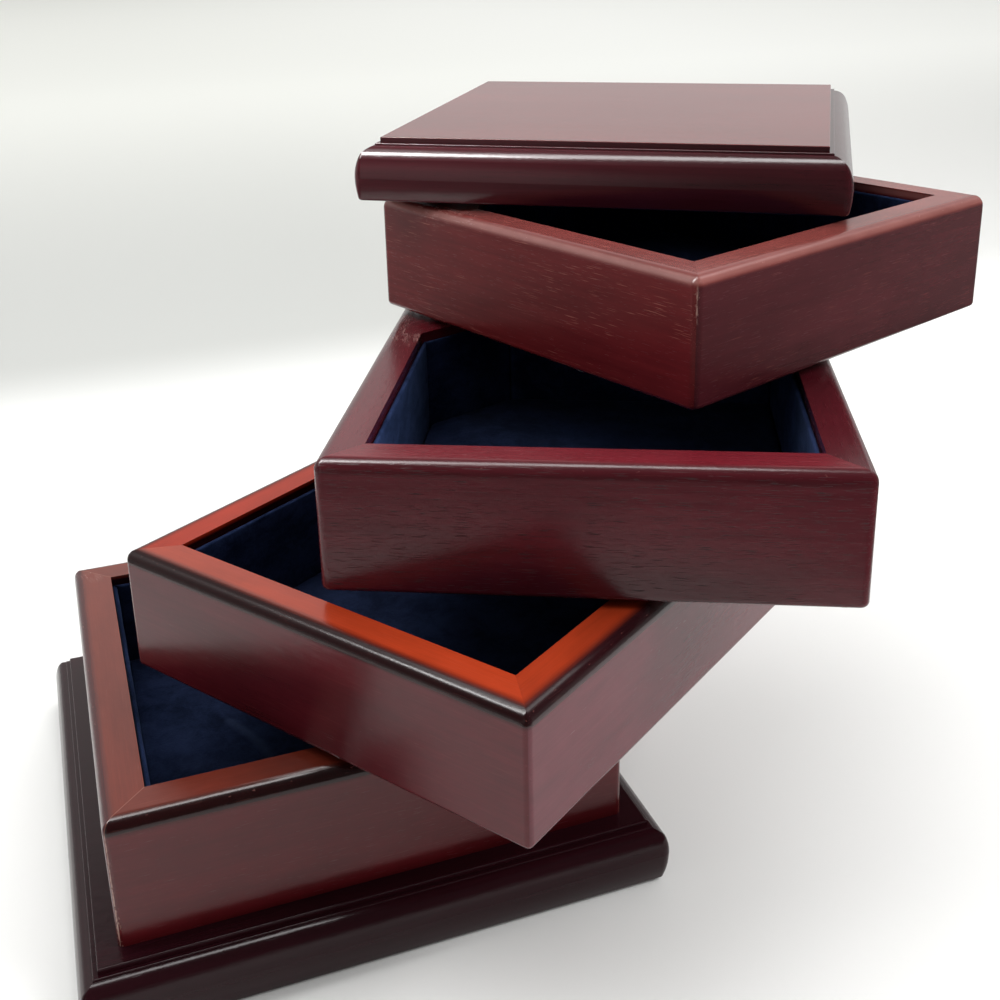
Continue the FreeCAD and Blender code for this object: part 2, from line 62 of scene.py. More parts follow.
# ---------------------------------------------------------------- shader helpers
class Graph:
    def __init__(self, name):
        self.mat = bpy.data.materials.new(name)
        self.mat.use_nodes = True
        self.tree = self.mat.node_tree
        self.tree.nodes.clear()
        self.out = self.tree.nodes.new("ShaderNodeOutputMaterial")

    def put(self, socket, value):
        if isinstance(value, bpy.types.NodeSocket):
            self.tree.links.new(value, socket)
        else:
            socket.default_value = value

    def node(self, kind, **props):
        n = self.tree.nodes.new(kind)
        for key, value in props.items():
            setattr(n, key, value)
        return n

    def math(self, op, a, b=None, c=None, clamp=False):
        n = self.node("ShaderNodeMath", operation=op, use_clamp=clamp)
        for i, v in enumerate((a, b, c)):
            if v is not None:
                self.put(n.inputs[i], v)
        return n.outputs[0]

    def vmath(self, op, a, b=None):
        n = self.node("ShaderNodeVectorMath", operation=op)
        self.put(n.inputs[0], a)
        if b is not None:
            self.put(n.inputs[1], b)
        return n.outputs["Value"] if op in ("LENGTH", "DISTANCE", "DOT_PRODUCT") else n.outputs[0]

    def mix(self, fac, a, b, blend="MIX"):
        n = self.node("ShaderNodeMix", data_type="RGBA", blend_type=blend)
        self.put(n.inputs[0], fac)
        for i, v in ((6, a), (7, b)):
            if not isinstance(v, bpy.types.NodeSocket) and len(v) == 3:
                v = (*v, 1.0)
            self.put(n.inputs[i], v)
        return n.outputs[2]

    def smooth(self, value, low, high):
        n = self.node("ShaderNodeMapRange", interpolation_type="SMOOTHSTEP")
        self.put(n.inputs[0], value)
        self.put(n.inputs[1], low)
        self.put(n.inputs[2], high)
        return n.outputs[0]

    def scale_to(self, value, low, high):
        n = self.node("ShaderNodeMapRange")
        self.put(n.inputs[0], value)
        n.inputs[3].default_value = low
        n.inputs[4].default_value = high
        return n.outputs[0]

    def noise(self, vector, scale=(1, 1, 1), detail=2.0, rough=0.5, shift=(0, 0, 0), distort=0.0):
        v = self.vmath("MULTIPLY", vector, scale)
        if any(shift):
            v = self.vmath("ADD", v, shift)
        n = self.node("ShaderNodeTexNoise")
        self.put(n.inputs["Vector"], v)
        n.inputs["Scale"].default_value = 1.0
        n.inputs["Detail"].default_value = detail
        n.inputs["Roughness"].default_value = rough
        n.inputs["Distortion"].default_value = distort
        return n.outputs[0]

    def place(self, turn=0.0, shift=(0, 0, 0)):
        """Object coordinates turned about z and shifted, in millimetres."""
        tc = self.node("ShaderNodeTexCoord")
        mp = self.node("ShaderNodeMapping", vector_type="POINT")
        self.tree.links.new(tc.outputs["Object"], mp.inputs["Vector"])
        mp.inputs["Rotation"].default_value = (0, 0, math.radians(turn))
        mp.inputs["Location"].default_value = shift
        return self.vmath("MULTIPLY", mp.outputs[0], (1000, 1000, 1000))

    def node_value(self, value):
        """One number as a vector of three equal parts."""
        n = self.node("ShaderNodeCombineXYZ")
        for i in range(3):
            self.put(n.inputs[i], value)
        return n.outputs[0]

    def bump(self, height, strength, distance):
        n = self.node("ShaderNodeBump")
        n.inputs["Strength"].default_value = strength
        n.inputs["Distance"].default_value = distance
        self.put(n.inputs["Height"], height)
        return n.outputs[0]

    def surface(self, color, roughness, normal=None, **fixed):
        p = self.node("ShaderNodeBsdfPrincipled")
        self.put(p.inputs["Base Color"], color)
        self.put(p.inputs["Roughness"], roughness)
        if normal is not None:
            self.put(p.inputs["Normal"], normal)
        for key, value in fixed.items():
            p.inputs[key.replace("_", " ")].default_value = value
        self.tree.links.new(p.outputs[0], self.out.inputs["Surface"])
        return self.mat


def local_frame(k, turn):
    """Rotation and shift that take the row frame to a rail's own frame:
    x along the rail from its left end, y from its outer face inwards, z from the tray's underside."""
    c = to_world(k, SIDE / 2, SIDE / 2, 0)
    a = -(SWING[k] + turn)
    r = math.radians(a)
    x = c.x * math.cos(r) - c.y * math.sin(r)
    y = c.x * math.sin(r) + c.y * math.cos(r)
    return a, (SIDE / 2000 - x, SIDE / 2000 - y, -Z0[k] / 1000)


# ---------------------------------------------------------------- lacquered wood
def scuffed(g, q, seed, scuffs, color, rough, height):
    """Pale scratches in patches: a faint haze and fine streaks that lie one way."""
    for cx, cy, cz, size, amount, turn_s in scuffs:
        off = g.vmath("SUBTRACT", q, (cx, cy, cz))
        rot = g.node("ShaderNodeVectorRotate", rotation_type="Z_AXIS")
        g.put(rot.inputs["Vector"], off)
        rot.inputs["Angle"].default_value = math.radians(-turn_s)
        away = g.vmath("LENGTH", g.vmath("MULTIPLY", rot.outputs[0], (0.55, 1.0, 1.0)))
        fall = g.math("SUBTRACT", 1.0, g.smooth(away, size * 0.15, size))
        lines = g.smooth(g.noise(rot.outputs[0], (0.11, 1.5, 1.5), 3, 0.65, (seed, 3, 9)), 0.52, 0.68)
        rub = g.smooth(g.noise(rot.outputs[0], (0.22, 0.5, 0.5), 3, 0.6, (4, seed, 1)), 0.4, 0.62)
        hit = g.math("MULTIPLY", fall, g.math("MULTIPLY", rub, g.math("ADD", g.math("MULTIPLY", lines, 0.8), 0.16)))
        hit = g.math("MULTIPLY", hit, amount)
        color = g.mix(hit, color, (0.48, 0.27, 0.24))
        rough = g.math("ADD", rough, g.math("MULTIPLY", hit, 0.35))
        height = g.math("SUBTRACT", height, g.math("MULTIPLY", hit, 0.4))
    return color, rough, height


def wood(name, k, turn, seed, face, rim=None, gloss=0.2, flecks=0.0, pores=1.0, streaks=1.0, scuffs=(), wear=(), band=0.2,
         edges=True, mitre=0.1, rolled=False, painted_shade_stretches=(), open_grain=4.4, dense=0.0, lip=(1.5, 4.2), shine=0.5, rub=0.0):
    g = Graph(name)
    angle, shift = local_frame(k, turn)
    q = g.place(angle, shift)
    xyz = g.node("ShaderNodeSeparateXYZ")
    g.put(xyz.inputs[0], q)
    x, y, z = xyz.outputs
    p = g.vmath("ADD", q, (seed * 37.1, seed * 11.3, seed * 23.7))

    streak = g.noise(p, (0.016, 0.5, 0.5), 6, 0.6, distort=0.35)
    fine = g.noise(p, (0.06, 2.4, 2.4), 3, 0.6, (3, 7, 1))
    figure = g.noise(p, (0.011, 0.045, 0.045), 2, 0.5, (11, 2, 5))
    mottle = g.noise(p, (0.07, 0.16, 0.16), 3, 0.55, (6, 1, 14))
    pore_n = g.noise(p, (0.045 * open_grain, open_grain, open_grain), 1.5, 0.5, (5, 9, 2))
    cut = g.scale_to(figure, 0.70 - dense, 0.58 - dense)
    pore = g.smooth(pore_n, cut, g.math("ADD", cut, 0.1))
    fleck_n = g.noise(p, (0.11, 3.6, 3.6), 1.5, 0.5, (1, 4, 19))
    patch = g.smooth(g.noise(p, (0.022, 0.08, 0.08), 2, 0.5, (17, 3, 8)), 0.38, 0.6)
    fleck = g.math("MULTIPLY", g.smooth(fleck_n, 0.625, 0.73), patch)
    peel = g.noise(p, (0.22, 0.34, 0.34), 2, 0.5, (8, 8, 3))
    grit = g.noise(p, (1.9, 1.9, 1.9), 2, 0.5, (2, 1, 7))

    flat = None
    if rim is not None:
        # darker on the roundover between the face and the rim
        if rolled:
            flat = g.smooth(z, HIGH - 3.5, HIGH - 2.1)
        else:
            flat = g.math("MULTIPLY", g.smooth(z, HIGH - 1.6, HIGH - 0.3), g.smooth(y, *lip))
        over = g.smooth(z, HIGH - 5.2, HIGH - 3.3)
        base = g.mix(over, face, [c * band for c in face])
        base = g.mix(flat, base, rim)
        pore = g.math("MULTIPLY", pore, g.math("SUBTRACT", 1.0, g.math("MULTIPLY", g.smooth(z, HIGH - 3.0, HIGH - 0.6), 0.85)))
    else:
        base = g.mix(g.smooth(figure, 0.3, 0.7), face, [c * 0.9 for c in face])

    wide = g.scale_to(streak, 1 - 0.5 * streaks, 1 + 0.5 * streaks)
    if flat is not None:
        calm = g.math("MULTIPLY", flat, 0.5)
        wide = g.math("ADD", g.math("MULTIPLY", wide, g.math("SUBTRACT", 1.0, calm)), calm)
    tone = g.math("MULTIPLY", wide, g.scale_to(fine, 0.84, 1.16))
    tone = g.math("MULTIPLY", tone, g.scale_to(figure, 0.74, 1.26))
    tone = g.math("MULTIPLY", tone, g.scale_to(mottle, 0.8, 1.2))
    color = g.mix(1.0, base, tone, "MULTIPLY")
    for start, end, high, amount in painted_shade_stretches:
        # painted shade: a stretch along the lower edge darkened for the shade and dark reflections that fall there
        there = g.math("MULTIPLY", g.smooth(x, start - 25, start + 25), g.math("SUBTRACT", 1.0, g.smooth(x, end - 25, end + 25)))
        there = g.math("MULTIPLY", there, g.math("SUBTRACT", 1.0, g.smooth(z, high - 12, high + 8)))
        color = g.mix(g.math("MULTIPLY", there, amount), color, [c * 0.2 for c in face])
    color = g.mix(g.math("MULTIPLY", pore, 0.6 * pores), color, [c * 0.2 for c in face])
    if flecks:
        color = g.mix(g.math("MULTIPLY", fleck, flecks), color, (0.38, 0.13, 0.10))

    if rub:
        # the crown of the roundover is paler
        crown = g.math("MULTIPLY", g.smooth(z, HIGH - 2.9, HIGH - 1.7), g.math("SUBTRACT", 1.0, g.smooth(z, HIGH - 0.9, HIGH - 0.3)))
        crown = g.math("MULTIPLY", crown, g.scale_to(mottle, 0.5 * rub, 1.5 * rub))
        color = g.mix(crown, color, (0.42, 0.21, 0.19))

    dark = None
    if mitre:
        d = g.math("MINIMUM", g.math("ABSOLUTE", g.math("SUBTRACT", x, y)),
                   g.math("ABSOLUTE", g.math("SUBTRACT", g.math("SUBTRACT", SIDE, x), y)))
        dark = g.math("SUBTRACT", 1.0, g.smooth(d, 0.05, 0.24))
        if mitre > 0:
            color = g.mix(g.math("MULTIPLY", dark, mitre), color, [c * 0.15 for c in face])
        else:
            color = g.mix(g.math("MULTIPLY", dark, -mitre), color, (0.42, 0.2, 0.15))

    worn = None
    if edges:
        # rubbed specks along the arrises, where the colour coat is thin
        e = g.math("MINIMUM", g.math("ADD", g.math("ABSOLUTE", g.math("SUBTRACT", z, HIGH - 1.1)), g.math("ABSOLUTE", g.math("SUBTRACT", y, 1.1))),
                   g.math("ADD", g.math("ABSOLUTE", g.math("SUBTRACT", y, 0.5)),
                          g.math("MINIMUM", g.math("ABSOLUTE", g.math("SUBTRACT", x, 0.5)), g.math("ABSOLUTE", g.math("SUBTRACT", SIDE - 0.5, x)))))
        near = g.math("SUBTRACT", 1.0, g.smooth(e, 0.4, 1.5))
        spot = g.smooth(g.noise(p, (0.5, 1.3, 1.3), 4, 0.65, (2, 13, 6)), 0.63, 0.74)
        worn = g.math("MULTIPLY", near, spot)
        color = g.mix(g.math("MULTIPLY", worn, 0.4), color, (0.28, 0.09, 0.07))

    rough = g.math("ADD", g.scale_to(streak, gloss - 0.05, gloss + 0.07), g.math("MULTIPLY", pore, 0.32 * pores))
    height = g.math("ADD", g.math("MULTIPLY", pore, -0.5 * pores), g.math("MULTIPLY", fine, 0.2 + 0.1 * pores))
    height = g.math("ADD", height, g.math("MULTIPLY", peel, 0.9))
    height = g.math("ADD", height, g.math("MULTIPLY", grit, 0.22))
    if dark is not None:
        height = g.math("SUBTRACT", height, g.math("MULTIPLY", dark, 0.25))
    for end, low, high, amount, patchy in wear:
        # an upright corner rubbed through to a pale line, with chips beside it
        d = g.math("ABSOLUTE", g.math("SUBTRACT", x if end == 0 else g.math("SUBTRACT", SIDE, x), y))
        reach = g.math("MULTIPLY", g.math("SUBTRACT", 1.0, g.smooth(y, 1.6, 3.2)),
                       g.math("MULTIPLY", g.smooth(z, low - 1.0, low + 1.0), g.math("SUBTRACT", 1.0, g.smooth(z, high - 4.0, high + 2.0))))
        line = g.math("MULTIPLY", g.math("SUBTRACT", 1.0, g.smooth(d, 0.08, 0.5)),
                      g.smooth(g.noise(p, (0.9, 0.9, 0.5), 3, 0.6, (7, 7, 7)), 0.36, 0.58))
        chip = g.math("MULTIPLY", g.math("SUBTRACT", 1.0, g.smooth(d, 0.4, 2.0)),
                      g.smooth(g.noise(p, (1.1, 1.1, 0.8), 3, 0.6, (3, 9, 1)), 0.57, 0.64))
        hit = g.math("MULTIPLY", reach, g.math("MAXIMUM", line, g.math("MULTIPLY", chip, patchy)))
        hit = g.math("MULTIPLY", hit, amount)
        color = g.mix(hit, color, (0.44, 0.27, 0.22))
        rough = g.math("ADD", rough, g.math("MULTIPLY", hit, 0.3))
    color, rough, height = scuffed(g, q, seed, scuffs, color, rough, height)
    if worn is not None:
        rough = g.math("ADD", rough, g.math("MULTIPLY", worn, 0.2))
    return g.surface(color, rough, g.bump(height, 0.5, 0.00009), IOR=1.42, Specular_IOR_Level=shine)


def moulding_wood(name, k, turn, seed, face, top, gloss, z_top, shine=0.5, scuffs=(), ends=(1.0, 1.0)):
    """Dark glossy lacquer on the lid and the plinth, with the grain running along one board."""
    g = Graph(name)
    angle, shift = local_frame(k, turn)
    q = g.place(angle, shift)
    xyz = g.node("ShaderNodeSeparateXYZ")
    g.put(xyz.inputs[0], q)
    x, y, z = xyz.outputs
    p = g.vmath("ADD", q, (seed * 37.1, seed * 11.3, seed * 23.7))
    streak = g.noise(p, (0.013, 0.42, 0.42), 6, 0.6, distort=0.4)
    fine = g.noise(p, (0.05, 2.0, 2.0), 3, 0.6, (3, 7, 1))
    figure = g.noise(p, (0.009, 0.03, 0.03), 2, 0.5, (11, 2, 5))
    pore = g.smooth(g.noise(p, (0.18, 3.0, 3.0), 1.5, 0.5, (5, 9, 2)), 0.62, 0.73)
    peel = g.noise(p, (0.3, 0.3, 0.3), 2, 0.5, (8, 8, 3))
    grit = g.noise(p, (1.8, 1.8, 1.8), 2, 0.5, (2, 1, 7))
    on_top = g.smooth(z, z_top - 0.5, z_top - 0.1)
    base = g.mix(on_top, face, top)
    tone = g.math("MULTIPLY", g.scale_to(streak, 0.6, 1.4), g.scale_to(fine, 0.85, 1.15))
    tone = g.math("MULTIPLY", tone, g.scale_to(figure, 0.75, 1.25))
    color = g.mix(1.0, base, tone, "MULTIPLY")
    if ends[0] != ends[1]:
        # the edge of the board is darker towards one end
        along = g.math("ADD", g.math("MULTIPLY", g.smooth(x, 10, 140), ends[1] - ends[0]), ends[0])
        along = g.math("ADD", g.math("MULTIPLY", along, g.math("SUBTRACT", 1.0, on_top)), on_top)
        color = g.mix(1.0, color, along, "MULTIPLY")
    color = g.mix(g.math("MULTIPLY", pore, 0.3), color, [c * 0.3 for c in face])
    rough = g.math("ADD", g.scale_to(streak, gloss - 0.03, gloss + 0.05), g.math("MULTIPLY", grit, 0.03))
    height = g.math("ADD", g.math("MULTIPLY", peel, 0.9), g.math("MULTIPLY", grit, 0.3))
    height = g.math("SUBTRACT", height, g.math("MULTIPLY", pore, 0.15))
    color, rough, height = scuffed(g, q, seed, scuffs, color, rough, height)
    return g.surface(color, rough, g.bump(height, 0.45, 0.00008), IOR=1.5, Specular_IOR_Level=shine)


# ---------------------------------------------------------------- fabric, metal, plastic
# velvet brightness for (walls, floor) of each tray, partly painted light: lit and shaded copies of one velvet
PILE_TONE_AND_PAINTED_LIGHT = {1: (0.95, 0.65), 2: (1.5, 0.75), 3: (1.6, 1.0), 4: (1.2, 2.0)}
CREASE = [(44.0, 84.0), (48.0, 76.0), (51.5, 68.0), (53.5, 60.0), (54.5, 50.0)]


def velvet(name, seed, tone, fold=False):
    g = Graph(name)
    q = g.place(0, (0, 0, 0))
    p = g.vmath("ADD", q, (seed * 17.3, seed * 29.1, seed * 7.7))
    nap = g.noise(p, (0.035, 0.035, 0.05), 3, 0.55, distort=0.6)
    brush = g.noise(p, (0.14, 0.14, 0.2), 3, 0.6, (4, 1, 6), distort=0.8)
    pile = g.noise(p, (1.1, 1.1, 1.1), 3, 0.7, (9, 2, 3))
    fibre = g.noise(p, (4.5, 4.5, 4.5), 1, 0.5, (1, 6, 2))
    mixd = g.math("ADD", g.math("MULTIPLY", nap, 0.5), g.math("MULTIPLY", brush, 0.3))
    mixd = g.math("ADD", mixd, g.math("MULTIPLY", pile, 0.2))
    lift = g.smooth(mixd, 0.36, 0.66)
    color = g.mix(lift, (0.0030, 0.0062, 0.0205), (0.0165, 0.0270, 0.0720))
    if fold:
        # painted highlight along the fold, where the pile lies the other way and catches the light
        best = None
        for (ax, ay), (bx, by) in zip(CREASE, CREASE[1:]):
            a, b = to_world(1, ax, ay, 7.0) * 1000, to_world(1, bx, by, 7.0) * 1000
            span = b - a
            off = g.vmath("SUBTRACT", q, tuple(a))
            f = g.math("MULTIPLY", g.vmath("DOT_PRODUCT", off, tuple(span)), 1 / span.length_squared, clamp=True)
            foot = g.vmath("MULTIPLY", g.node_value(f), tuple(span))
            away = g.vmath("LENGTH", g.vmath("SUBTRACT", off, foot))
            best = away if best is None else g.math("MINIMUM", best, away)
        fold_highlight_mask = g.math("SUBTRACT", 1.0, g.smooth(best, 0.2, 2.6))
        color = g.mix(g.math("MULTIPLY", fold_highlight_mask, 0.4), color, (0.035, 0.052, 0.105))
    # the tone scales this piece's brightness, partly painted light
    color = g.mix(1.0, color, g.scale_to(fibre, 0.6 * tone, 1.4 * tone), "MULTIPLY")
    height = g.math("ADD", g.math("MULTIPLY", brush, 0.8), g.math("MULTIPLY", pile, 0.5))
    height = g.math("ADD", height, g.math("MULTIPLY", fibre, 0.25))
    rough = g.scale_to(pile, 0.85, 1.0)
    return g.surface(color, rough, g.bump(height, 0.55, 0.0004), IOR=1.35,
                     Sheen_Weight=0.13, Sheen_Roughness=0.4, Sheen_Tint=(0.24, 0.38, 0.76, 1.0), Specular_IOR_Level=0.04)


def felt(name):
    g = Graph(name)
    q = g.place()
    clump = g.noise(q, (0.5, 0.5, 0.5), 4, 0.7)
    hair = g.noise(q, (3.0, 3.0, 3.0), 3, 0.7, (4, 4, 1))
    color = g.mix(g.smooth(clump, 0.3, 0.7), (0.012, 0.013, 0.017), (0.03, 0.032, 0.04))
    color = g.mix(1.0, color, g.scale_to(hair, 0.6, 1.4), "MULTIPLY")
    return g.surface(color, g.scale_to(hair, 0.88, 1.0), g.bump(g.math("ADD", clump, hair), 0.7, 0.0003),
                     IOR=1.4, Sheen_Weight=0.2, Sheen_Roughness=0.5)


def metal(name, tint, seed):
    g = Graph(name)
    q = g.vmath("ADD", g.place(), (seed * 5.0, seed * 3.0, 0))
    turned = g.noise(q, (0.3, 0.3, 9.0), 3, 0.6)
    stain = g.noise(q, (0.25, 0.25, 0.25), 3, 0.6, (3, 1, 2))
    color = g.mix(g.smooth(stain, 0.35, 0.7), tint, [c * 0.7 for c in tint])
    color = g.mix(1.0, color, g.scale_to(turned, 0.85, 1.15), "MULTIPLY")
    return g.surface(color, g.scale_to(turned, 0.24, 0.42), g.bump(turned, 0.3, 0.00003), Metallic=1.0)


def clear_plastic(name):
    g = Graph(name)
    q = g.place()
    cloud = g.noise(q, (0.4, 0.4, 0.4), 3, 0.6)
    dust = g.smooth(g.noise(q, (1.8, 1.8, 1.8), 3, 0.7, (2, 5, 1)), 0.55, 0.75)
    color = g.mix(cloud, (0.62, 0.64, 0.62), (0.8, 0.81, 0.79))
    color = g.mix(g.math("MULTIPLY", dust, 0.4), color, (0.35, 0.34, 0.33))
    rough = g.math("ADD", g.scale_to(cloud, 0.15, 0.3), g.math("MULTIPLY", dust, 0.3))
    return g.surface(color, rough, g.bump(cloud, 0.2, 0.00005), IOR=1.48, Transmission_Weight=0.55)


def floor_paper(name):
    g = Graph(name)
    q = g.place()
    a = g.noise(q, (0.004, 0.004, 0.004), 3, 0.5)
    b = g.noise(q, (0.9, 0.9, 0.9), 2, 0.6, (3, 3, 3))
    color = g.mix(a, (0.795, 0.797, 0.785), (0.832, 0.834, 0.824))
    xyz = g.node("ShaderNodeSeparateXYZ")
    g.put(xyz.inputs[0], q)
    x, y, z = xyz.outputs
    # painted light: paler on the left, lifting the shade beside the plinth; a little greyer behind the object and pale
    # again far off
    color = g.mix(g.smooth(x, -170, 20), (0.885, 0.887, 0.872), color)
    behind = g.mix(g.smooth(x, 150, 700), (0.450, 0.456, 0.441), (0.610, 0.610, 0.597))
    far = g.mix(g.smooth(x, 0, 1500), (0.880, 0.887, 0.845), (0.965, 0.970, 0.940))
    behind = g.mix(g.smooth(y, 550, 2000), behind, far)
    color = g.mix(g.smooth(y, 330, 520), color, behind)
    return g.surface(color, g.scale_to(b, 0.55, 0.7), g.bump(b, 0.15, 0.0001), Specular_IOR_Level=0.2)


def dress(node, material):
    o = nodes[node]
    if not o.material_slots:
        o.data.materials.append(material)
    for s in o.material_slots:
        s.material = material


# ---------------------------------------------------------------- dress the CAD nodes
FACE = {1: (0.080, 0.0055, 0.0078), 2: (0.090, 0.0080, 0.0125), 3: (0.078, 0.0072, 0.0125), 4: (0.115, 0.0085, 0.0100)}
# per rail face colours, partly painted light: some faces lighter or darker for the light and shade that fall on them
FACE_TONE_AND_PAINTED_LIGHT_AT = {(4, "left"): (0.062, 0.0095, 0.0130), (4, "front"): (0.066, 0.0095, 0.0130), (2, "front"): (0.104, 0.0200, 0.0290)}
RIM = {1: (0.135, 0.020, 0.010), 2: (0.315, 0.0325, 0.0088), 3: (0.115, 0.0075, 0.0135), 4: (0.175, 0.0380, 0.0330)}
# per rail rim colours, partly painted shade: some rims darkened where the tier above shades them
RIM_TONE_AND_PAINTED_SHADE_AT = {(3, "front"): (0.056, 0.0043, 0.0080), (2, "front"): (0.265, 0.027, 0.0072), (2, "back"): (0.300, 0.0200, 0.0045), (3, "back"): (0.085, 0.0060, 0.0110), (4, "back"): (0.158, 0.0320, 0.0285), (1, "front"): (0.108, 0.0160, 0.0080)}
BAND = {1: 0.16, 2: 0.16, 3: 0.75, 4: 1.0}
BAND_AT = {(1, "left"): 0.6}
STREAKS = {1: 0.32, 2: 0.36, 3: 0.7, 4: 0.6}
GLOSS = {1: 0.2, 2: 0.2, 3: 0.21, 4: 0.23}
# painted shade: (start, end, height, amount) of stretches along a rail's lower edge, darkened where shade and dark
# reflections fall
PAINTED_SHADE_STRETCHES = {(1, "front"): [(100, 180, 12, 0.5)], (2, "left"): [(30, 105, 28, 0.55)], (3, "left"): [(35, 125, 14, 0.5)], (4, "left"): [(10, 150, 8, 0.35)]}
SHINE = {(2, "left"): 0.42, (2, "back"): 0.2}
RUB = {(4, "back"): 0.36, (4, "left"): 0.24, (4, "front"): 0.24, (4, "right"): 0.24}
PORES = {1: 0.3, 2: 0.16, 3: 1.4, 4: 0.25}
GRAIN = {1: 4.4, 2: 4.4, 3: 3.7, 4: 4.4}
FLECKS = {(4, "back"): 0.6, (4, "left"): 0.28, (4, "front"): 0.28, (4, "right"): 0.28}
SCUFF = {
    # (x, y, z, size, amount, direction) in the rail's own millimetres
    (3, "back"): [(42, 8.0, 40.6, 9.0, 1.0, 12), (30, 9.0, 40.6, 7.0, 0.8, 5), (24, 4.0, 40.6, 5.0, 0.5, 0)],
    (4, "back"): [(30, 4.0, 40.6, 10.0, 0.55, 2), (44, 3.0, 40.6, 7.0, 0.4, 0)],
    (1, "left"): [(6.0, 6.0, 40.6, 6.0, 0.6, 15)],
}
WEAR = {
    # (end, lowest, highest, amount, chips) of a rubbed upright corner
    (1, "front"): [(0, 0.0, 37.0, 0.75, 0.15), (0, 0.0, 13.0, 0.7, 0.8)],
    (1, "left"): [(1, 0.0, 37.0, 0.75, 0.1), (1, 0.0, 13.0, 0.7, 0.9)],
    (4, "left"): [(0, 27.0, 38.0, 0.8, 0.5)],
    (4, "back"): [(1, 29.0, 38.0, 0.8, 0.3)],
}
for k in (1, 2, 3, 4):
    for i, side in enumerate(("front", "right", "back", "left")):
        dress(f"tray_{k}_{side}_rail", wood(
            f"lacquered_rail_{k}_{side}", k, TURN[side], k * 4 + i, FACE_TONE_AND_PAINTED_LIGHT_AT.get((k, side), FACE[k]), RIM_TONE_AND_PAINTED_SHADE_AT.get((k, side), RIM[k]),
            gloss=GLOSS[k], painted_shade_stretches=PAINTED_SHADE_STRETCHES.get((k, side), ()), flecks=FLECKS.get((k, side), 0.06), pores=PORES[k], streaks=STREAKS[k], band=BAND_AT.get((k, side), BAND[k]),
            rolled=k == 4, open_grain=GRAIN[k], dense=0.03 if k == 3 else 0.0, lip=(2.0, 5.6) if k == 2 else (1.5, 4.2),
            shine=SHINE.get((k, side), 0.5), rub=RUB.get((k, side), 0.0), scuffs=SCUFF.get((k, side), ()), wear=WEAR.get((k, side), ()), mitre=-0.3 if k == 1 else 0.1))
    dress(f"tray_{k}_pivot_block", wood(f"lacquered_block_{k}", k, 135.0, 40 + k, RIM[k], None, gloss=0.5 if k == 4 else 0.24, edges=False, mitre=0, shine=0.1 if k == 4 else 0.5))
    dress(f"tray_{k}_floor_panel", wood(f"stained_panel_{k}", k, 0.0, 50 + k, (0.085, 0.012, 0.010), None, gloss=0.42, edges=False, mitre=0))
dress("plinth", moulding_wood("dark_lacquer_plinth", 1, 0.0, 61, (0.0170, 0.0031, 0.0052), (0.0170, 0.0031, 0.0052), 0.12, 0.0, 0.21))
dress("lid", moulding_wood("dark_lacquer_lid", 5, 180.0, 62, (0.056, 0.0058, 0.0100), (0.126, 0.020, 0.021), 0.16, 21.4, ends=(1.3, 0.68)))
dress("base_felt", felt("dark_felt"))
steel = metal("turned_steel", (0.55, 0.55, 0.57), 1)
brass = metal("turned_brass", (0.72, 0.52, 0.24), 2)
dress("pivot_rod", steel)
dress("rod_nut", steel)
dress("rod_washer", steel)
for k in (1, 2, 3, 4):
    dress(f"spacer_washer_{k}", steel)
dress("lid_insert", brass)
bumper = clear_plastic("clear_bumper_plastic")
for n in ("tray_2_bumpers", "tray_3_bumpers", "tray_4_bumpers", "lid_bumpers"):
    dress(n, bumper)


# ---------------------------------------------------------------- velvet pieces
def pentagon(t):
    """Inside of a tray, t in from the faces of the rails and the pivot block."""
    a, b = WALL + t, SIDE - WALL - t
    c = SIDE - WALL - LEG - t * (math.sqrt(2) - 1)
    return [(a, a), (b, a), (b, c), (c, b), (a, b)]


def wave(k, x, y, z, size, seed=0.0):
    return noise.noise(Vector((x / size + k * 7.3 + seed, y / size - k * 3.1, z / size + seed)))


def new_piece(name, verts, faces, k, material, node):
    mesh = bpy.data.meshes.new(name)
    mesh.from_pydata([tuple(v) for v in verts], [], faces)
    mesh.validate()
    mesh.update()
    for f in mesh.polygons:
        f.use_smooth = True
    o = bpy.data.objects.new(name, mesh)
    bpy.context.scene.collection.objects.link(o)
    o.data.materials.append(material)
    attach(o, BODY[k])
    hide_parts(node)
    return o


